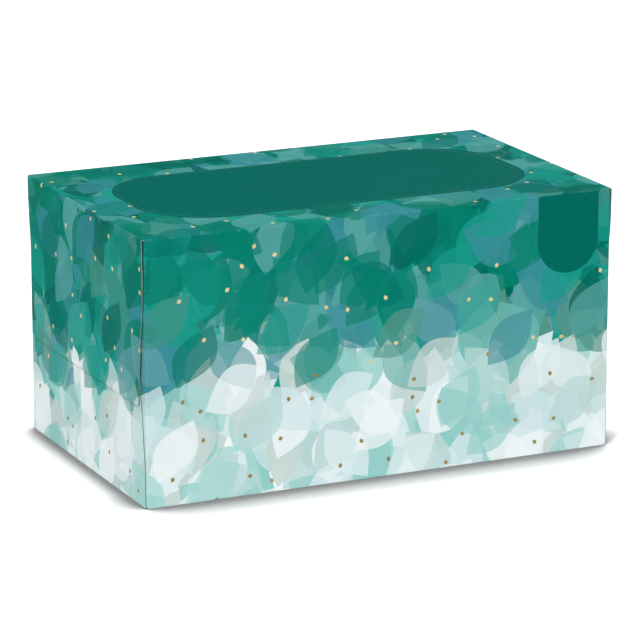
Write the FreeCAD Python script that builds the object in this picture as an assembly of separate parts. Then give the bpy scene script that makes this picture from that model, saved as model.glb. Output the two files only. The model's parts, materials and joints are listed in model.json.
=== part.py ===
"""Sealed carton of folded hand tissues: one paperboard blank, wrapped, folded and glued shut.

The sleeve's four panels wrap round the long X axis. At each end two dust flaps fold in first,
the lower flap folds up over them, and the upper flap comes down last, over the lower one.
The top panel carries the perforated ring of the tear-out, which hasn't been torn.
Millimetres, +Z up. The origin is the middle of the footprint, on the surface the carton stands on.
The front is the long side towards -Y.
"""
import FreeCAD, Part
import math
import os

# Driving dimensions of the closed carton
carton_length = 238.0
carton_width = 142.0
carton_height = 125.0
board = 0.5
fold_radius = 1.0

# Flaps on both ends
upper_flap_reach = 78.0
flap_overlap = 15.0
flap_root_inset = 1.3
flap_shoulder = 18.0
flap_tip_inset = 6.5
flap_tip_radius = 2.0

# Glued edge along the foot of the back panel
glue_edge_height = 1.6

# Perforated ring of the tear-out in the top panel
ring_end_margin = 22.5
ring_side_margin = 28.0
ring_corner_radius = 36.0
ring_corner_limit = 0.95
slit_width = 0.3
slit_pitch = 5.0
# Of each pitch's five steps the slit takes four, and the nick that holds the board takes one
steps_per_slit = 5

# Places worked out from the sizes above
half_width = carton_width / 2
half_length = carton_length / 2
dust_flap_face = half_length - 2 * board
# A flap's solid starts well inside the block, to fill the block's rounded edge behind the fold
flap_root_face = dust_flap_face - 3 * fold_radius
upper_flap_tip = carton_height - upper_flap_reach
lower_flap_tip = upper_flap_tip + flap_overlap


def rounded_polygon(corners, place):
    """Face through corners (u, v, radius); a tangent arc of that radius turns each corner.

    place(u, v) gives the point in space, so one outline can stand in any plane.
    """
    turns = []
    for index, (u, v, radius) in enumerate(corners):
        corner = FreeCAD.Vector(u, v, 0)
        before = FreeCAD.Vector(*corners[index - 1][:2], 0)
        after = FreeCAD.Vector(*corners[(index + 1) % len(corners)][:2], 0)
        back = (before - corner).normalize()
        ahead = (after - corner).normalize()
        half_angle = back.getAngle(ahead) / 2
        reach = radius / math.tan(half_angle)
        depth = radius / math.sin(half_angle) - radius
        middle = corner + (back + ahead).normalize() * depth
        turns.append((corner + back * reach, middle, corner + ahead * reach, radius))
    edges = []
    for index, (start, middle, end, radius) in enumerate(turns):
        if radius > 0:
            arc = Part.Arc(place(start.x, start.y), place(middle.x, middle.y), place(end.x, end.y))
            edges.append(arc.toShape())
        following = turns[(index + 1) % len(turns)][0]
        edges.append(Part.LineSegment(place(end.x, end.y), place(following.x, following.y)).toShape())
    return Part.Face(Part.Wire(edges))


def rectangle(u_low, u_high, v_low, v_high, radius):
    """Corners of a rectangle whose four corners have one radius."""
    points = [(u_low, v_low), (u_high, v_low), (u_high, v_high), (u_low, v_high)]
    return [(u, v, radius) for u, v in points]


def wrapped_block():
    """The closed block inside the end flaps: sleeve, glued edge and the folds of the dust flaps."""
    glued_face = half_width - board
    section = [
        (-half_width, 0, fold_radius),
        (glued_face, 0, fold_radius),
        (glued_face, glue_edge_height, 0),
        (half_width, glue_edge_height, 0),
        (half_width, carton_height, fold_radius),
        (-half_width, carton_height, fold_radius),
    ]
    plan = rectangle(-dust_flap_face, dust_flap_face, -half_width, half_width, fold_radius)
    side = rectangle(-dust_flap_face, dust_flap_face, 0, carton_height, fold_radius)
    along = rounded_polygon(section, lambda u, v: FreeCAD.Vector(-half_length, u, v))
    upright = rounded_polygon(plan, lambda u, v: FreeCAD.Vector(u, v, -board))
    across = rounded_polygon(side, lambda u, v: FreeCAD.Vector(u, -carton_width, v))
    sleeve = along.extrude(FreeCAD.Vector(carton_length, 0, 0))
    corners = upright.extrude(FreeCAD.Vector(0, 0, carton_height + 2 * board))
    ends = across.extrude(FreeCAD.Vector(0, 2 * carton_width, 0))
    return sleeve.common(corners).common(ends)


def end_flap(end, fold_height, tip_height, outer_face):
    """One glued flap on the end +1 or -1, from its fold to its tip, tapered past its shoulder."""
    towards_tip = math.copysign(1, tip_height - fold_height)
    shoulder_height = fold_height + towards_tip * flap_shoulder
    root = half_width - flap_root_inset
    tip = half_width - flap_tip_inset
    profile = [
        (end * flap_root_face, fold_height, 0),
        (end * outer_face, fold_height, fold_radius),
        (end * outer_face, tip_height, 0),
        (end * flap_root_face, tip_height, 0),
    ]
    outline = [
        (-root, fold_height, 0),
        (root, fold_height, 0),
        (root, shoulder_height, 0),
        (tip, tip_height, flap_tip_radius),
        (-tip, tip_height, flap_tip_radius),
        (-root, shoulder_height, 0),
    ]
    side = rounded_polygon(profile, lambda u, v: FreeCAD.Vector(u, -half_width, v))
    front = rounded_polygon(outline, lambda u, v: FreeCAD.Vector(end * flap_root_face, u, v))
    thickness = side.extrude(FreeCAD.Vector(0, carton_width, 0))
    shape = front.extrude(FreeCAD.Vector(end * (outer_face - flap_root_face), 0, 0))
    return thickness.common(shape)


def tear_out_slits():
    """Slits through the board, set end to end with short nicks between them, round the tear-out."""
    ring_half_length = half_length - ring_end_margin
    ring_half_width = half_width - ring_side_margin
    widest_corner = ring_corner_limit * min(ring_half_length, ring_half_width)
    radius = min(ring_corner_radius, widest_corner)
    corners = rectangle(-ring_half_length, ring_half_length, -ring_half_width, ring_half_width, radius)
    ring = rounded_polygon(corners, lambda u, v: FreeCAD.Vector(u, v, carton_height)).OuterWire
    count = max(1, round(ring.Length / slit_pitch))
    marks = ring.discretize(count * steps_per_slit + 1)
    slits = []
    for index in range(count):
        start = marks[index * steps_per_slit]
        end = marks[(index + 1) * steps_per_slit - 1]
        along = (end - start).normalize()
        across = FreeCAD.Vector(-along.y, along.x, 0) * (slit_width / 2)
        near_side = [start + across, end + across]
        far_side = [end - across, start - across]
        outline = Part.makePolygon(near_side + far_side + near_side[:1])
        slits.append(Part.Face(outline).extrude(FreeCAD.Vector(0, 0, -board)))
    return Part.makeCompound(slits)


def tissue_carton():
    """The whole carton as one solid, with the flaps on both ends and the slits in its top."""
    flaps = []
    for end in (-1, 1):
        flaps.append(end_flap(end, 0, lower_flap_tip, half_length - board))
        flaps.append(end_flap(end, carton_height, upper_flap_tip, half_length))
    closed = wrapped_block().multiFuse(flaps).removeSplitter()
    return closed.cut(tear_out_slits())


carton = tissue_carton()
if not carton.isValid() or len(carton.Solids) != 1:
    raise RuntimeError("the carton is not one valid solid")
os.makedirs("parts", exist_ok=True)
carton.Solids[0].exportStep("parts/tissue_carton.step")
box = carton.BoundBox
print("box", [round(v, 4) for v in (box.XMin, box.XMax, box.YMin, box.YMax, box.ZMin, box.ZMax)])
print("volume mm3", round(carton.Volume, 1), "faces", len(carton.Faces))
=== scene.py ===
import json
import math

import bpy
import numpy as np
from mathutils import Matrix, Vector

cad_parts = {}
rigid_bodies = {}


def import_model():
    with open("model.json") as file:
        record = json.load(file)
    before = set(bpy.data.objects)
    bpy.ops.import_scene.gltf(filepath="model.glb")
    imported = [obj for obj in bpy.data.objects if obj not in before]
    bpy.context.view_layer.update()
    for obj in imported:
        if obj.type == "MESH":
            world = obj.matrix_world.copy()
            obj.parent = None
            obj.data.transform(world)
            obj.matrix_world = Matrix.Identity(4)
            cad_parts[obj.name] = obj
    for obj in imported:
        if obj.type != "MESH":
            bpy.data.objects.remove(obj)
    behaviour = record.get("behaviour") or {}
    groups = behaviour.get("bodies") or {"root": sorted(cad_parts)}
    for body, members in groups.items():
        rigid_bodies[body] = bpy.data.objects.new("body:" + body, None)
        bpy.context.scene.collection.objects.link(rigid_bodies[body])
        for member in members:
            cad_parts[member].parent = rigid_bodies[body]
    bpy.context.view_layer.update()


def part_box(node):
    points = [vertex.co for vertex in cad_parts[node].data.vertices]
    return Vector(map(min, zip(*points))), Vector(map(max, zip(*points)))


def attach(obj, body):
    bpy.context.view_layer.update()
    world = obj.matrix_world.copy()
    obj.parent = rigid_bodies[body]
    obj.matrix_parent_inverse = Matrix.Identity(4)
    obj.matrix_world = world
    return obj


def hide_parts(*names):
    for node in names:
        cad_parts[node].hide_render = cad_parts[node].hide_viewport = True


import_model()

# The carton: one die-cut sheet of coated paperboard, creased and wrapped round four panels.
# Every panel ends in a flap. The dust flaps of the front and back fold in first, the lower flap
# comes up over them and the upper flap comes down last, each a board further out, all glued.
MM = 0.001
half_length, half_width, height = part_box("tissue_carton")[1]
board = 0.46 * MM
fold_radius = 0.8 * MM
fold_steps = 6
glue_flap_inset = 0.5 * MM
glue_flap_depth = 16 * MM
glue_edge_height = 1.6 * MM
grid_step = 6 * MM
crease_steps = np.array([0, 0.3, 0.6, 1.0, 1.5, 2.3]) * MM
# Shares of a flap's straight drop, close together at its fold and at its tip
drop_steps = np.concatenate([[0.005, 0.015, 0.035], np.arange(0.07, 0.97, 0.06), [0.98, 0.994, 1]])

GLUE, BOTTOM, FRONT, TOP, BACK = range(5)
# One value for each panel in that order: glue flap, bottom, front, top, back
panel_bow = np.array([0, 0.6, 0.4, 0.5, 0.4]) * MM
flap_plane_inset = np.array([0.72, 0.72, 1.2, 0.02, 1.2]) * MM
flap_reach = np.array([16, 62, 60, 78, 60]) * MM
flap_root_inset = np.array([0, 0.1, 0, 0.1, 0]) * MM
flap_taper = np.array([0, 5.2, 3, 5.2, 3]) * MM
flap_shoulder = np.array([0, 18, 10, 18, 10]) * MM
flap_tip_radius = np.array([1, 2, 6, 2, 6]) * MM
# The upper flap sags over the hollow above the lower one
upper_flap_sag = 0.45 * MM
sag_share = 0.8


def crease_to_crease(span):
    """Distances from 0 to span: crease_steps from both ends, and even steps in between."""
    inner = span - 2 * crease_steps[-1]
    count = max(2, round(inner / grid_step))
    middle = crease_steps[-1] + inner * np.arange(1, count) / count
    return np.concatenate([crease_steps, middle, span - crease_steps[::-1]])


def corner_stations(panel, corner, along, normal, half_run):
    """Stations on the arc that turns the corner after a panel, between the arc's two ends.

    A point is centre + radius (normal cos a + along sin a), for a between 0 and a right angle.
    """
    share = np.arange(1, fold_steps)[:, None] / fold_steps
    turn = share * math.pi / 2
    column = np.ones_like(share)
    turned_normal = normal * np.cos(turn) + along * np.sin(turn)
    turned_along = along * np.cos(turn) - normal * np.sin(turn)
    centre = corner - (along + normal) * fold_radius
    return np.hstack([
        centre + turned_normal * fold_radius, turned_normal, turned_along,
        column * half_run, column * panel, share,
    ])


def girth_stations():
    """Stations round the girth, from the glue flap's free edge to the back panel's glued edge.

    Each row holds the point (y, z), the outward normal, the direction along the girth, the
    distance from the panel's middle, the panel's number and the share of the corner turned.
    """
    glue_plane = half_width - glue_flap_inset
    corners = np.array([
        (glue_plane, glue_flap_depth), (glue_plane, 0), (-half_width, 0),
        (-half_width, height), (half_width, height), (half_width, glue_edge_height),
    ])
    stations = []
    for panel in range(5):
        start, end = corners[panel], corners[panel + 1]
        along = (end - start) / np.linalg.norm(end - start)
        normal = np.array([-along[1], along[0]])
        head = 0 if panel == GLUE else fold_radius
        tail = 0 if panel == BACK else fold_radius
        run = np.linalg.norm(end - start) - head - tail
        distance = crease_to_crease(run)[:, None]
        column = np.ones_like(distance)
        stations.append(np.hstack([
            start + along * (head + distance), column * normal, column * along,
            distance - run / 2, column * panel, column * 0,
        ]))
        if panel < BACK:
            stations.append(corner_stations(panel, end, along, normal, run / 2))
    return np.vstack(stations)


def panel_half_runs(girth):
    """Half the straight run of each of the five panels."""
    return np.array([np.abs(girth[girth[:, 7] == panel, 6]).max() for panel in range(5)])


def length_stations():
    """Stations along X, from the tip of one end's flap over the panel to the tip of the other's.

    Each is a share of the panel's half length, a turn about the end fold and a share of the flap's
    straight drop. All three carry the end's sign.
    """
    near_fold = 1 - crease_steps[::-1] / half_length
    even = np.arange(0, near_fold[0], grid_step / half_length)
    panel = np.concatenate([even, near_fold])
    turn = np.arange(1, fold_steps + 1) / fold_steps * math.pi / 2
    half = np.array([
        np.concatenate([panel, np.ones(len(turn) + len(drop_steps))]),
        np.concatenate([panel * 0, turn, np.full(len(drop_steps), math.pi / 2)]),
        np.concatenate([panel * 0, turn * 0, drop_steps]),
    ])
    return np.hstack([-half[:, :0:-1], half])


def folded_sheet(girth):
    """Outer face of the folded sheet, as points over girth stations by length stations.

    On a panel: the girth's point, moved in by bow (1 - c^2)(1 - s^2), where c and s run from -1 to 1
    across and along the panel. Past the end fold, the point turns about the fold and then drops
    down the end, and its distance across shrinks evenly with the depth past the shoulder. The
    upper flap also moves in by sag sin(pi d)^2, where d runs from 0 to 1 over sag_share of it.

    The second array is 1 along the middle of every fold, and 0 on the flat board.
    """
    point, normal, along = girth[:, None, 0:2], girth[:, None, 2:4], girth[:, None, 4:6]
    across, share = girth[:, 6, None], girth[:, 8, None]
    panel = girth[:, 7].astype(int)
    s, turn, drop = length_stations()[:, None, :]
    half_run = panel_half_runs(girth)[panel, None]
    following = np.minimum(panel + 1, BACK)
    inset = flap_plane_inset[panel, None] * (1 - share) + flap_plane_inset[following, None] * share
    plane = half_length - inset

    root = half_run - flap_root_inset[panel, None]
    tip_radius = flap_tip_radius[panel, None]
    past_tip = np.clip((np.abs(across) - root + tip_radius) / tip_radius, 0, 1)
    rounding = tip_radius * (1 - np.sqrt(1 - past_tip ** 2))
    straight = flap_reach[panel, None] - fold_radius - rounding
    depth = fold_radius * (1 - np.cos(turn)) + np.abs(drop) * straight
    past_shoulder = np.clip(depth - flap_shoulder[panel, None], 0, None)
    shoulder_run = (flap_reach - flap_shoulder)[panel, None]
    taper = flap_taper[panel, None] * past_shoulder / shoulder_run

    bow = panel_bow[panel, None] * (1 - (across / half_run) ** 2) * (1 - s ** 2) * (share == 0)
    inward = (depth + bow)[:, :, None] * normal
    sideways = (taper * across / root)[:, :, None] * along
    section = point - inward - sideways

    fallen = np.clip(np.abs(drop) / sag_share, 0, 1)
    sag = upper_flap_sag * np.sin(math.pi * fallen) ** 2 * (panel == TOP)[:, None]
    x = np.abs(s) * (plane - fold_radius) + fold_radius * np.abs(np.sin(turn)) - sag
    sheet = np.dstack([x * np.sign(s), section])
    crease = np.maximum(np.sin(math.pi * share), np.abs(np.sin(2 * turn)) * (drop == 0))
    return sheet, crease


def board_cells(girth):
    """The grid's cells that hold board: each one's row, whether it is on an end, and its corners.

    Past the end fold only the flaps are board: the corners' arcs, the glue flap, and the strips
    wider than a flap's root are cut away.
    """
    turn = length_stations()[1]
    tolerance = 0.001 * MM
    panel, share = girth[:, 7].astype(int), girth[:, 8]
    half_run = panel_half_runs(girth)
    inside_root = np.abs(girth[:, 6]) <= half_run[panel] - flap_root_inset[panel] + tolerance
    on_flap = inside_root & (share == 0) & (panel != GLUE)
    row_is_flap = on_flap[:-1] & on_flap[1:] & (panel[:-1] == panel[1:])
    column_is_panel = (turn[:-1] == 0) & (turn[1:] == 0)
    row, column = np.nonzero(column_is_panel[None, :] | row_is_flap[:, None])
    first = row * len(turn) + column
    corner = np.column_stack([first, first + 1, first + len(turn) + 1, first + len(turn)])
    return row, ~column_is_panel[column], corner


def print_places(girth, sheet, row, is_end, corner):
    """Place of each cell's corners on the print, first along the box and then v, up the box.

    The panels from the bottom over the front to the top are unrolled, and the ends and the back
    join the front's print at their shared height.
    """
    s = length_stations()[0]
    panel, share = girth[:, 7].astype(int), girth[:, 8]
    y, z = sheet[:, :, 1], sheet[:, :, 2]
    from_front = girth[:, 0] + half_width
    rolled = share * 2 * fold_radius
    v = np.select(
        [(share > 0) & (panel == BOTTOM), (share > 0) & (panel == FRONT), panel <= BOTTOM,
         panel == FRONT, panel == TOP],
        [rolled - fold_radius, height - fold_radius + rolled, -from_front,
         girth[:, 1], height + from_front],
    )
    along_box = np.broadcast_to(s * half_length, y.shape)
    over_front = np.dstack([along_box, np.broadcast_to(v[:, None], y.shape)])
    over_back = np.dstack([2 * half_length + 2 * half_width - along_box, z])
    over_end = np.dstack([np.sign(s) * (half_length + y + half_width), z])

    past_top = (panel == BACK) | ((panel == TOP) & (share > 0))
    is_back = past_top[row + 1] & ~is_end
    place = over_front.reshape(-1, 2)[corner]
    place = np.where(is_back[:, None, None], over_back.reshape(-1, 2)[corner], place)
    return np.where(is_end[:, None, None], over_end.reshape(-1, 2)[corner], place)


def build_sheet():
    """Mesh of the sheet's outer face, with its print map and the crease attribute."""
    girth = girth_stations()
    sheet, crease = folded_sheet(girth)
    row, is_end, corner = board_cells(girth)
    place = print_places(girth, sheet, row, is_end, corner)
    used, compact = np.unique(corner, return_inverse=True)
    mesh = bpy.data.meshes.new("folded_carton")
    mesh.from_pydata(sheet.reshape(-1, 3)[used].tolist(), [], compact.reshape(corner.shape).tolist())
    print_map = mesh.uv_layers.new(name="print_sheet")
    print_map.data.foreach_set("uv", place.reshape(-1).astype(np.float32))
    creased = mesh.attributes.new("crease", "FLOAT", "POINT")
    creased.data.foreach_set("value", crease.reshape(-1)[used].astype(np.float32))
    mesh.shade_smooth()
    return mesh


# The tear-out: a ring of short slits knifed right through the top panel. The nicks of board left
# between them hold it shut until somebody presses it in and tears round it.
ring_half_length = half_length - 22.5 * MM
ring_half_width = half_width - 28 * MM
ring_radius = 36 * MM
arc_points = 48
slit_pitch = 5 * MM
slit_share = 0.8
slit_width = 0.22 * MM
slit_reach = 1.5 * MM


def ring_line():
    """Closed line of the ring: four quarter circles of ring_radius, joined by its straight sides."""
    turn = np.linspace(0, math.pi / 2, arc_points)
    centre_x = (ring_half_length - ring_radius) * np.array([1, -1, -1, 1])
    centre_y = (ring_half_width - ring_radius) * np.array([1, 1, -1, -1])
    angle = turn[None, :] + np.arange(4)[:, None] * math.pi / 2
    x = centre_x[:, None] + ring_radius * np.cos(angle)
    y = centre_y[:, None] + ring_radius * np.sin(angle)
    line = np.column_stack([x.ravel(), y.ravel()])
    return np.vstack([line, line[:1]])


def slit_knives():
    """Mesh of one box for each slit, from its start to its end along the ring, slit_width wide."""
    line = ring_line()
    walked = np.concatenate([[0], np.cumsum(np.linalg.norm(np.diff(line, axis=0), axis=1))])
    count = round(walked[-1] / slit_pitch)
    at = (np.arange(count)[:, None] + [0, slit_share]) * walked[-1] / count
    ends = np.dstack([np.interp(at, walked, line[:, 0]), np.interp(at, walked, line[:, 1])])
    start, end = ends[:, 0], ends[:, 1]
    along = (end - start) / np.linalg.norm(end - start, axis=1)[:, None]
    across = np.column_stack([-along[:, 1], along[:, 0]]) * slit_width / 2
    outline = np.stack([start - across, end - across, end + across, start + across], axis=1)
    plan = np.broadcast_to(outline[:, None], (count, 2, 4, 2))
    levels = np.array([height - slit_reach, height + slit_reach])
    level = np.broadcast_to(levels[None, :, None, None], (count, 2, 4, 1))
    box = np.concatenate([plan, level], axis=3)
    sides = np.array([(3, 2, 1, 0), (4, 5, 6, 7), (0, 1, 5, 4), (1, 2, 6, 5), (2, 3, 7, 6), (3, 0, 4, 7)])
    faces = (sides[None] + np.arange(count)[:, None, None] * 8).reshape(-1, 4)
    mesh = bpy.data.meshes.new("slit_knives")
    mesh.from_pydata(box.reshape(-1, 3).tolist(), [], faces.tolist())
    return mesh


# The board: half a millimetre of recycled fibre, coated on the outer face, which takes the print.
# It is bare and greyish on the inside, on every flap's cut edge and in the slits.
sharp_angle = math.radians(40)
fibre_scale = 1500.0
fibre_stretch = (0.25, 1.0, 1.0)
fibre_relief = 0.08 * MM
raw_roughness = (0.78, 0.95)


def ink(red, green, blue):
    """Linear colour of an ink given as it looks, from 0 to 255."""
    share = np.array([red, green, blue]) / 255
    linear = np.where(share <= 0.04045, share / 12.92, ((share + 0.055) / 1.055) ** 2.4)
    return (*linear.tolist(), 1.0)


def put(tree, kind, sockets=None, **settings):
    """Adds a shader node. Each socket takes a value, or the output that feeds it."""
    node = tree.nodes.new("ShaderNode" + kind)
    for name, value in settings.items():
        setattr(node, name, value)
    for name, value in (sockets or {}).items():
        if isinstance(value, bpy.types.NodeSocket):
            tree.links.new(value, node.inputs[name])
        else:
            node.inputs[name].default_value = value
    return node


def empty_tree(owner):
    """Node tree of a material or a world, with nothing in it yet."""
    owner.use_nodes = True
    owner.node_tree.nodes.clear()
    return owner.node_tree


raw_fibre = ink(138, 160, 153)
raw_shade = ink(110, 132, 126)


def paint_raw_board(material):
    """Cut edges and inside: recycled board with darker fibres, drawn out along the sheet's grain."""
    tree = empty_tree(material)
    solid = put(tree, "TexCoord").outputs["Object"]
    grain = put(tree, "Mapping", {"Vector": solid, "Scale": fibre_stretch}).outputs[0]
    fibre = put(tree, "TexNoise", {"Vector": grain, "Scale": fibre_scale, "Detail": 5.0}).outputs[0]
    colour = put(tree, "MixRGB", {"Fac": fibre, "Color1": raw_fibre, "Color2": raw_shade}).outputs[0]
    smooth, coarse = raw_roughness
    rough = put(tree, "MapRange", {"Value": fibre, "To Min": smooth, "To Max": coarse}).outputs[0]
    bump = put(tree, "Bump", {"Height": fibre, "Strength": 0.4, "Distance": fibre_relief}).outputs[0]
    surface = put(tree, "BsdfPrincipled", {"Base Color": colour, "Roughness": rough, "Normal": bump})
    put(tree, "OutputMaterial", {"Surface": surface.outputs[0]})


def finished_carton(printed_face, bare_board):
    """The sheet given its thickness inward, with the slits knifed through it, as one plain mesh."""
    in_scene = bpy.context.scene.collection.objects
    carton = bpy.data.objects.new("folded_carton", build_sheet())
    in_scene.link(carton)
    carton.data.materials.append(printed_face)
    carton.data.materials.append(bare_board)
    thicken = carton.modifiers.new("thickness", "SOLIDIFY")
    thicken.thickness = board
    thicken.offset = -1
    thicken.use_even_offset = True
    thicken.material_offset = 1
    thicken.material_offset_rim = 1
    knives = bpy.data.objects.new("slit_knives", slit_knives())
    in_scene.link(knives)
    knives.data.materials.append(bare_board)
    cut = carton.modifiers.new("slits", "BOOLEAN")
    cut.operation = "DIFFERENCE"
    cut.solver = "EXACT"
    cut.material_mode = "TRANSFER"
    cut.object = knives
    mesh = bpy.data.meshes.new_from_object(carton.evaluated_get(bpy.context.evaluated_depsgraph_get()))
    carton.modifiers.clear()
    carton.data = mesh
    knife_mesh = knives.data
    bpy.data.objects.remove(knives)
    bpy.data.meshes.remove(knife_mesh)
    mesh.shade_smooth()
    mesh.set_sharp_from_angle(angle=sharp_angle)
    return carton


satin_print = bpy.data.materials.new("satin_print")
raw_board = bpy.data.materials.new("raw_board")
paint_raw_board(raw_board)
carton = finished_carton(satin_print, raw_board)

# The print: translucent leaves in coated ink, dark teal above and near white at the foot, each in
# one ink that its own height on the box chooses, and small gold flecks scattered over them. The
# broad field on the top and the tab on the front are one plain dark ink, with nothing on them.
leaf_half_length = 17 * MM
leaf_half_width = 9.5 * MM
leaf_spacing = 37 * MM
leaf_squeeze = 1.55
leaf_scatter = 0.1
leaf_lean = 0.8
leaf_drop = 0.1
leaf_passes = 8
# Each pass over the last: where its lattice starts, how far it is turned and how strong its ink is
first_shift = (0.0, 400 * MM)
pass_shift = (13 * MM, 31 * MM)
widest_turn = 0.9
pass_turn = 2.4
strongest_ink = 0.88
ink_fade = 0.07
ink_fades = 4
tone_limit = 0.999
patch_spacing = 14 * MM
ink_edge = 0.12 * MM
fleck_half_length = 1.3 * MM
fleck_half_width = 0.95 * MM
fleck_spacing = 23 * MM
fleck_shift = (200 * MM, 100 * MM, 0.0)
fleck_turn = (0.0, 0.0, 0.6)
fleck_drop = 0.12
gold_spread = 0.5
# Height at which the dark leaves give way to the pale ones: it swings once round the box's girth,
# highest at shore_crest along the front, and ripples on the way, and each leaf adds its own jitter
shore_height = 47 * MM
shore_swing = 9 * MM
shore_crest = 40 * MM
shore_ripple = 4 * MM
shore_ripples = 7.0
shore_jitter = 26 * MM
middle_band = 20 * MM
field_centre = (1.0 * MM, height + half_width - 0.8 * MM)
field_half = (99.4 * MM, 45.3 * MM)
field_radius = 35 * MM
tab_centre = (97.2 * MM, height - 4 * MM)
tab_half = (16.1 * MM, 34 * MM)
tab_radius = 15.8 * MM
rub_highlight_scale = 420.0
rub_highlight_from = 0.58
rub_highlight_to = 0.72
most_rub_and_highlight = 0.1
rub_roughness = 0.3
coating_scale = 900.0
coating_relief = 0.05 * MM
coating_roughness = (0.52, 0.66)
coating_reflection = 0.006
cloud_scale = 22.0
cloud_shade = (0.965, 1.03)
panel_swell = 0.4 * MM

pale_inks = [
    ink(150, 208, 203), ink(228, 241, 243), ink(186, 217, 215), ink(245, 250, 251),
    ink(170, 218, 213), ink(212, 233, 235), ink(202, 218, 214), ink(238, 246, 248),
]
middle_inks = [
    ink(58, 165, 154), ink(66, 144, 156), ink(112, 184, 177), ink(84, 150, 138),
    ink(30, 154, 140), ink(98, 160, 168), ink(128, 182, 174), ink(20, 138, 124),
]
dark_inks = [
    ink(2, 104, 90), ink(12, 132, 116), ink(86, 164, 160), ink(6, 118, 106),
    ink(24, 154, 138), ink(58, 142, 152), ink(4, 126, 106), ink(66, 146, 134),
]
field_ink = ink(3, 105, 94)
bottom_ground = ink(236, 243, 243)
# Paler ink on the folds: rubbed ink, and also a painted highlight along the creases.
rub_and_highlight_ink = ink(236, 242, 240)
pale_gold = ink(226, 212, 156)
brown_gold = ink(150, 130, 74)


def maths(tree, operation, first, second=0.0, third=0.0):
    """Output of a Math node on up to three values."""
    return put(tree, "Math", {0: first, 1: second, 2: third}, operation=operation).outputs[0]


def scattered_leaves(tree, sheet, sizes):
    """Mask of leaves on a loose lattice, each leaf's centre on the sheet, and its random values.

    The lattice is turned, and squeezed across by a factor. In a cell, a leaf leans a little, and
    covers |x| under half_width cos(pi y / 2 half_length), with its tips at y = +-half_length.
    """
    squeeze = (1 / sizes["squeeze"], 1.0, 1.0)
    lattice = {"Location": sizes["shift"], "Rotation": sizes["turn"], "Scale": squeeze}
    placed = put(tree, "Mapping", {"Vector": sheet, **lattice}, vector_type="TEXTURE").outputs[0]
    cells = put(tree, "TexVoronoi", {
        "Vector": placed, "Scale": 1 / sizes["spacing"], "Randomness": sizes["scatter"],
    }, voronoi_dimensions="2D", feature="F1")
    own = put(tree, "VectorMath", {0: placed, 1: cells.outputs["Position"]}, operation="SUBTRACT")
    random = put(tree, "SeparateColor", {"Color": cells.outputs["Color"]}).outputs
    angle = maths(tree, "MULTIPLY_ADD", random["Red"], sizes["lean"], -sizes["lean"] / 2)
    leaned = put(tree, "VectorRotate", {"Vector": own.outputs[0], "Angle": angle}, rotation_type="Z_AXIS")
    folded = put(tree, "VectorMath", {0: leaned.outputs[0]}, operation="ABSOLUTE")
    reach = put(tree, "SeparateXYZ", {0: folded.outputs[0]}).outputs
    along = maths(tree, "MULTIPLY", reach["Y"], math.pi / 2 / sizes["half_length"])
    curve = maths(tree, "COSINE", maths(tree, "MINIMUM", along, math.pi))
    outside = maths(tree, "MULTIPLY_ADD", curve, -sizes["half_width"] * sizes["squeeze"], reach["X"])
    mask = put(tree, "MapRange", {
        "Value": outside, "From Min": ink_edge, "From Max": -ink_edge,
    }, interpolation_type="SMOOTHSTEP").outputs[0]
    centre = put(tree, "Mapping", {"Vector": cells.outputs["Position"], **lattice}).outputs[0]
    return mask, centre, random


def shore_level(tree, centre, jitter):
    """How far a place on the sheet stands above the line where dark turns to pale, in metres.

    The line's height is shore_height + swing cos t + ripple cos(ripples t), where t makes one turn
    on the way round the box.
    """
    place = put(tree, "SeparateXYZ", {0: centre}).outputs
    level = maths(tree, "MINIMUM", place["Y"], height)
    turn_rate = math.pi / (2 * half_length + 2 * half_width)
    turn = maths(tree, "MULTIPLY_ADD", place["X"], turn_rate, -shore_crest * turn_rate)
    swing = maths(tree, "COSINE", turn)
    ripple = maths(tree, "COSINE", maths(tree, "MULTIPLY", turn, shore_ripples))
    swung = maths(tree, "MULTIPLY_ADD", swing, -shore_swing, level)
    rippled = maths(tree, "MULTIPLY_ADD", ripple, -shore_ripple, swung)
    jittered = maths(tree, "MULTIPLY_ADD", jitter, shore_jitter, rippled)
    return maths(tree, "SUBTRACT", jittered, shore_height + shore_jitter / 2)


def leaf_ink(tree, centre, tone, jitter):
    """One ink for a whole leaf: its centre's height picks the family, and its tone the ink.

    The ramp holds the three families one after another, and is read at (family + tone) / 3, with
    the tone kept just under 1, so that it stays in its family.
    """
    level = shore_level(tree, centre, jitter)
    above_shore = maths(tree, "GREATER_THAN", level, 0.0)
    above_middle = maths(tree, "GREATER_THAN", level, middle_band)
    family = maths(tree, "ADD", above_shore, above_middle)
    place = maths(tree, "DIVIDE", maths(tree, "MULTIPLY_ADD", tone, tone_limit, family), 3.0)
    ramp = put(tree, "ValToRGB", {"Fac": place})
    ramp.color_ramp.interpolation = "CONSTANT"
    inks = pale_inks + middle_inks + dark_inks
    for index, colour in enumerate(inks):
        if index < 2:
            stop = ramp.color_ramp.elements[index]
        else:
            stop = ramp.color_ramp.elements.new(1.0)
        stop.position = index / len(inks)
        stop.color = colour
    return ramp.outputs["Color"]


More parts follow.
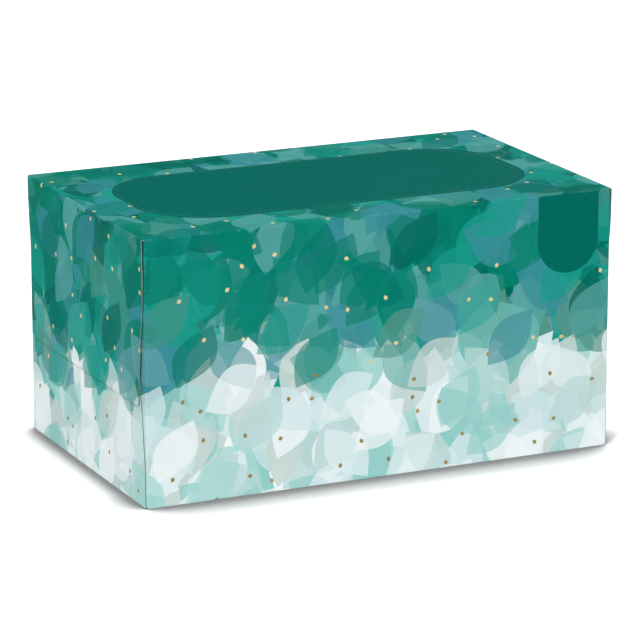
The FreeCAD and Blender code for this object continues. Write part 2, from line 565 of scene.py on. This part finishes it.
def leaf_pass_group():
    """One pass of translucent leaves printed over the colour under it."""
    tree = bpy.data.node_groups.new("leaf_pass", "ShaderNodeTree")
    for label, kind in (("Under", "Color"), ("Sheet", "Vector"), ("Shift", "Vector"),
                        ("Turn", "Vector"), ("Opacity", "Float")):
        tree.interface.new_socket(label, in_out="INPUT", socket_type="NodeSocket" + kind)
    tree.interface.new_socket("Ink", in_out="OUTPUT", socket_type="NodeSocketColor")
    given = tree.nodes.new("NodeGroupInput").outputs
    result = tree.nodes.new("NodeGroupOutput").inputs
    mask, centre, random = scattered_leaves(tree, given["Sheet"], {
        "shift": given["Shift"], "turn": given["Turn"], "spacing": leaf_spacing,
        "squeeze": leaf_squeeze, "scatter": leaf_scatter, "lean": leaf_lean,
        "half_length": leaf_half_length, "half_width": leaf_half_width,
    })
    leaf = leaf_ink(tree, centre, random["Green"], random["Blue"])
    printed = maths(tree, "GREATER_THAN", random["Blue"], leaf_drop)
    cover = maths(tree, "MULTIPLY", maths(tree, "MULTIPLY", mask, printed), given["Opacity"])
    over = put(tree, "MixRGB", {"Fac": cover, "Color1": given["Under"], "Color2": leaf}).outputs[0]
    tree.links.new(over, result["Ink"])
    return tree


def printed_leaves(tree, sheet):
    """Ground of small patches in the leaves' own inks, and the passes of leaves printed over it."""
    patches = put(tree, "TexVoronoi", {
        "Vector": sheet, "Scale": 1 / patch_spacing,
    }, voronoi_dimensions="2D", feature="F1").outputs
    random = put(tree, "SeparateColor", {"Color": patches["Color"]}).outputs
    colour = leaf_ink(tree, patches["Position"], random["Green"], random["Blue"])
    leaves = leaf_pass_group()
    for number in range(leaf_passes):
        shift_x = first_shift[0] + pass_shift[0] * number
        shift_y = first_shift[1] + pass_shift[1] * number
        printed = put(tree, "Group", {
            "Under": colour, "Sheet": sheet, "Shift": (shift_x, shift_y, 0.0),
            "Turn": (0.0, 0.0, widest_turn * math.sin(pass_turn * number)),
            "Opacity": strongest_ink - ink_fade * (number % ink_fades),
        }, node_tree=leaves)
        colour = printed.outputs["Ink"]
    return colour


def gold_flecks(tree, sheet, colour):
    """Small gold lozenges over a colour: paler on the dark leaves, and browner on the pale ones."""
    mask, centre, random = scattered_leaves(tree, sheet, {
        "shift": fleck_shift, "turn": fleck_turn, "spacing": fleck_spacing, "squeeze": 1.0,
        "scatter": 1.0, "lean": math.pi, "half_length": fleck_half_length,
        "half_width": fleck_half_width,
    })
    printed = maths(tree, "GREATER_THAN", random["Blue"], fleck_drop)
    cover = maths(tree, "MULTIPLY", mask, printed)
    on_dark = maths(tree, "GREATER_THAN", shore_level(tree, centre, 0.5), 0.0)
    off_centre = maths(tree, "SUBTRACT", random["Green"], 0.5)
    paler = maths(tree, "MULTIPLY_ADD", off_centre, gold_spread, on_dark)
    share = put(tree, "Clamp", {"Value": paler}).outputs[0]
    gold = put(tree, "MixRGB", {"Fac": share, "Color1": brown_gold, "Color2": pale_gold}).outputs[0]
    return put(tree, "MixRGB", {"Fac": cover, "Color1": colour, "Color2": gold}).outputs[0]


def rounded_field(tree, sheet, centre, half, radius):
    """Mask of a rounded rectangle: the usual distance to it, |p - centre| less its straight half."""
    own = put(tree, "VectorMath", {0: sheet, 1: (*centre, 0.0)}, operation="SUBTRACT").outputs[0]
    folded = put(tree, "VectorMath", {0: own}, operation="ABSOLUTE").outputs[0]
    straight = (half[0] - radius, half[1] - radius, 0.0)
    past = put(tree, "VectorMath", {0: folded, 1: straight}, operation="SUBTRACT").outputs[0]
    clipped = put(tree, "VectorMath", {0: past, 1: (0.0, 0.0, 0.0)}, operation="MAXIMUM").outputs[0]
    reach = put(tree, "VectorMath", {0: clipped}, operation="LENGTH").outputs["Value"]
    return put(tree, "MapRange", {
        "Value": reach, "From Min": radius + ink_edge, "From Max": radius - ink_edge,
    }, interpolation_type="SMOOTHSTEP").outputs[0]


def plain_inks(tree, sheet, colour):
    """The field on the top, the tab on the front and the pale bottom, each in one ink."""
    up = put(tree, "SeparateXYZ", {0: sheet}).outputs["Y"]
    field = rounded_field(tree, sheet, field_centre, field_half, field_radius)
    tab = rounded_field(tree, sheet, tab_centre, tab_half, tab_radius)
    front_tab = maths(tree, "MULTIPLY", tab, maths(tree, "LESS_THAN", up, height))
    plain = maths(tree, "MAXIMUM", field, front_tab)
    colour = put(tree, "MixRGB", {"Fac": plain, "Color1": colour, "Color2": field_ink}).outputs[0]
    under = maths(tree, "LESS_THAN", up, 0.0)
    return put(tree, "MixRGB", {"Fac": under, "Color1": colour, "Color2": bottom_ground}).outputs[0]


def paint_print(material):
    """Printed face: the inks one over another, a little rub and a painted highlight on the folds, and a
    satin coating.
    """
    tree = empty_tree(material)
    sheet = put(tree, "UVMap", uv_map="print_sheet").outputs[0]
    solid = put(tree, "TexCoord").outputs["Object"]
    colour = printed_leaves(tree, sheet)
    colour = gold_flecks(tree, sheet, colour)
    colour = plain_inks(tree, sheet, colour)

    # The folds are printed paler in patches: partly real ink wear, partly a painted highlight along the
    # creases.
    crease = put(tree, "Attribute", attribute_name="crease").outputs["Fac"]
    rub_highlight_noise = put(tree, "TexNoise", {"Vector": solid, "Scale": rub_highlight_scale, "Detail": 3.0}).outputs[0]
    worn_and_highlit = put(tree, "MapRange", {
        "Value": rub_highlight_noise, "From Min": rub_highlight_from, "From Max": rub_highlight_to, "To Max": most_rub_and_highlight,
    }).outputs[0]
    rub_and_highlight = maths(tree, "MULTIPLY", crease, worn_and_highlit)
    colour = put(tree, "MixRGB", {"Fac": rub_and_highlight, "Color1": colour, "Color2": rub_and_highlight_ink}).outputs[0]
    fibre = put(tree, "TexNoise", {"Vector": solid, "Scale": coating_scale, "Detail": 4.0}).outputs[0]
    cloud = put(tree, "TexNoise", {"Vector": solid, "Scale": cloud_scale, "Detail": 2.0}).outputs[0]
    darker, lighter = cloud_shade
    shade = put(tree, "MapRange", {"Value": cloud, "To Min": darker, "To Max": lighter}).outputs[0]
    colour = put(tree, "VectorMath", {0: colour, "Scale": shade}, operation="SCALE").outputs[0]
    smooth, coarse = coating_roughness
    rough = put(tree, "MapRange", {"Value": fibre, "To Min": smooth, "To Max": coarse}).outputs[0]
    rough = maths(tree, "MULTIPLY_ADD", rub_and_highlight, rub_roughness, rough)
    bump = put(tree, "Bump", {"Height": fibre, "Strength": 0.25, "Distance": coating_relief}).outputs[0]
    swell = put(tree, "Bump", {
        "Height": cloud, "Strength": 0.5, "Distance": panel_swell, "Normal": bump,
    }).outputs[0]
    surface = put(tree, "BsdfPrincipled", {
        "Base Color": colour, "Roughness": rough, "Normal": swell,
        "Specular IOR Level": coating_reflection,
    })
    put(tree, "OutputMaterial", {"Surface": surface.outputs[0]})


paint_print(satin_print)
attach(carton, "root")
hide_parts("tissue_carton")

# The floor: a plain sweep of white paper, far wider than the view, that the carton stands on.
# Its colour is darkened near the carton's foot as a painted contact shadow, which reaches further in
# front.
floor_reach = 6.0
contact_reach = 20 * MM
front_contact_reach = 42 * MM
front_band = (-1.2 * half_width, -0.6 * half_width)
shadow_openness = 0.55
paper_openness = 0.9
shadow_tone = 0.165
paper_tone = 0.95
floor_glow = 0.58
glow_colour = (0.98, 0.99, 1.0, 1)
light_paper = (0.9, 0.9, 0.9, 1)
dark_paper = (0.86, 0.86, 0.86, 1)


def paint_floor(material):
    """White paper, shown brighter to the camera and in reflections, so that it reads as white, and
    darkened near the carton by a painted contact shadow.
    """
    tree = empty_tree(material)
    solid = put(tree, "TexCoord").outputs["Object"]
    grain = put(tree, "TexNoise", {"Vector": solid, "Scale": 300.0, "Detail": 2.0}).outputs[0]
    paper = put(tree, "MixRGB", {"Fac": grain, "Color1": light_paper, "Color2": dark_paper}).outputs[0]
    matte = put(tree, "BsdfDiffuse", {"Color": paper}).outputs[0]
    forward = put(tree, "SeparateXYZ", {0: solid}).outputs["Y"]
    reach = put(tree, "MapRange", {
        "Value": forward, "From Min": front_band[0], "From Max": front_band[1],
        "To Min": front_contact_reach, "To Max": contact_reach,
    }).outputs[0]
    # Painted contact shadow: the paper's tone falls where ambient occlusion finds the carton close by.
    near = put(tree, "AmbientOcclusion", {"Distance": reach}, samples=16).outputs["AO"]
    tone_with_painted_shadow = put(tree, "MapRange", {
        "Value": near, "From Min": shadow_openness, "From Max": paper_openness,
        "To Min": shadow_tone, "To Max": paper_tone,
    }).outputs[0]
    painted_shadow_paper = put(tree, "BsdfDiffuse", {"Color": tone_with_painted_shadow}).outputs[0]
    strength = maths(tree, "MULTIPLY", tone_with_painted_shadow, floor_glow)
    glow = put(tree, "Emission", {"Color": glow_colour, "Strength": strength}).outputs[0]
    bright = put(tree, "AddShader", {0: painted_shadow_paper, 1: glow}).outputs[0]
    path = put(tree, "LightPath").outputs
    seen = maths(tree, "MAXIMUM", path["Is Camera Ray"], path["Is Glossy Ray"])
    seen = maths(tree, "MAXIMUM", seen, path["Is Transmission Ray"])
    mixed = put(tree, "MixShader", {0: seen, 1: matte, 2: bright})
    put(tree, "OutputMaterial", {"Surface": mixed.outputs[0]})


floor_mesh = bpy.data.meshes.new("floor")
floor_corners = np.array([(-1, -1, 0), (1, -1, 0), (1, 1, 0), (-1, 1, 0)]) * floor_reach
floor_mesh.from_pydata(floor_corners.tolist(), [], [(0, 1, 2, 3)])
floor = bpy.data.objects.new("floor", floor_mesh)
bpy.context.scene.collection.objects.link(floor)
floor_paper = bpy.data.materials.new("floor_paper")
paint_floor(floor_paper)
floor_mesh.materials.append(floor_paper)

# The light: a white room, dimmer at eye level than overhead, and four soft square lamps. The key
# stands high at the front and left, and weaker ones fill the front, the left and the rear.
carton_middle = (0, 0, 0.06)
lowest_room_light = 0.2
highest_room_light = 0.42
highest_light_rise = 0.75


def light_room():
    """World whose strength grows from the horizon to overhead."""
    world = bpy.data.worlds.new("white_room")
    bpy.context.scene.world = world
    tree = empty_tree(world)
    direction = put(tree, "TexCoord").outputs["Generated"]
    rise = put(tree, "SeparateXYZ", {0: direction}).outputs["Z"]
    strength = put(tree, "MapRange", {
        "Value": rise, "From Max": highest_light_rise, "To Min": lowest_room_light,
        "To Max": highest_room_light,
    }, interpolation_type="SMOOTHSTEP").outputs[0]
    room = put(tree, "Background", {"Color": (1, 1, 1, 1), "Strength": strength})
    put(tree, "OutputWorld", {"Surface": room.outputs[0]})


def soft_lamp(name, place, size, power):
    """Square area lamp at a place, facing the carton's middle."""
    light = bpy.data.lights.new(name, "AREA")
    light.size = size
    light.energy = power
    lamp = bpy.data.objects.new(name, light)
    lamp.location = place
    direction = np.array(carton_middle) - np.array(place)
    yaw = math.atan2(direction[0], -direction[1])
    pitch = math.atan2(math.hypot(direction[0], direction[1]), -direction[2])
    lamp.rotation_euler = (pitch, 0, yaw + math.pi)
    bpy.context.scene.collection.objects.link(lamp)


light_room()
soft_lamp("key_lamp", place=(-1.15, -1.15, 2.1), size=0.3, power=36)
soft_lamp("front_lamp", place=(0.5, -2.0, 0.9), size=1.4, power=8.5)
soft_lamp("left_lamp", place=(-2.0, -0.1, 0.9), size=1.2, power=3.8)
soft_lamp("rear_lamp", place=(1.6, 1.6, 1.5), size=0.8, power=15)

# The camera: a long lens at the photograph's viewing angle, from the front and left of the carton
# and a little above it, fitted to the carton's corners.
camera_place = (-0.75349, -1.61153, 0.54150)
camera_azimuth = math.radians(-25.09)
camera_elevation = math.radians(15.22)
camera_roll = math.radians(-0.02)
camera_data = bpy.data.cameras.new("camera")
camera_data.sensor_width = 36
camera_data.lens = 218.5
camera_data.clip_end = 50
camera = bpy.data.objects.new("camera", camera_data)
camera.location = camera_place
camera.rotation_euler = (math.pi / 2 - camera_elevation, camera_roll, camera_azimuth)
bpy.context.scene.collection.objects.link(camera)
bpy.context.scene.camera = camera
bpy.context.scene.view_settings.view_transform = "Standard"
